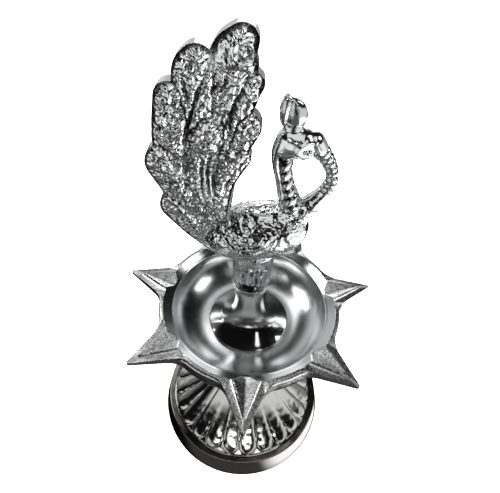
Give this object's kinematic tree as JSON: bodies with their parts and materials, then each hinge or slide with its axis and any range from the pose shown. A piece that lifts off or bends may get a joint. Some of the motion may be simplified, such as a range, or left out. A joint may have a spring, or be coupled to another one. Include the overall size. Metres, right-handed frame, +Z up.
{
  "type": "standing oil lamp",
  "caption": "Small metal wick lamp: fluted bell foot, star-shaped oil dish with pointed spouts, polished cone and a peacock finial that unscrews.",
  "frame": {"origin": "centre of the foot ring's bottom plane, on the lamp's axis", "axes": "+Z up along the lamp's axis; the bird's flank faces -Y and its head +X; one spout points along -Y"},
  "size_m": [0.0936, 0.0914, 0.1738],
  "materials": {
    "polished_metal": "mirror polished",
    "turned_metal": "fine turned and polished",
    "satin_metal": "lathe-turned satin inside, as cast outside",
    "cast_metal": "rough cast, tumbled bright",
    "steel": "plain bright steel",
    "seal_leather": "oiled leather"
  },
  "bodies": {
    "base": {"foot_ring": "turned_metal", "foot_bell": "polished_metal"},
    "crown_washer": {"crown_washer": "steel"},
    "dish": {"stem": "turned_metal", "main_stud": "steel", "dish_seal": "seal_leather", "star_dish": "satin_metal", "nozzle_cone": "polished_metal", "finial_stud": "steel"},
    "finial_washer": {"finial_washer": "steel"},
    "peacock": {"peacock": "cast_metal"}
  },
  "joints": [
    {"name": "dish_turn", "type": "hinge", "parent": "base", "child": "crown_washer", "pos_m": [0, 0, 0.046], "axis": [0, 0, 1], "range_deg": [0, 2160]},
    {"name": "dish_lift", "type": "slide", "parent": "crown_washer", "child": "dish", "axis": [0, 0, 1], "range_m": [0, 0.0075]},
    {"name": "peacock_turn", "type": "hinge", "parent": "dish", "child": "finial_washer", "pos_m": [0, 0, 0.0887], "axis": [0, 0, 1], "range_deg": [0, 2160]},
    {"name": "peacock_lift", "type": "slide", "parent": "finial_washer", "child": "peacock", "axis": [0, 0, 1], "range_m": [0, 0.006]}
  ],
  "couplings": [
    {"joint": "dish_lift", "follows": "dish_turn", "m_per_rad": 0.00019894},
    {"joint": "peacock_lift", "follows": "peacock_turn", "m_per_rad": 0.00015915}
  ]
}
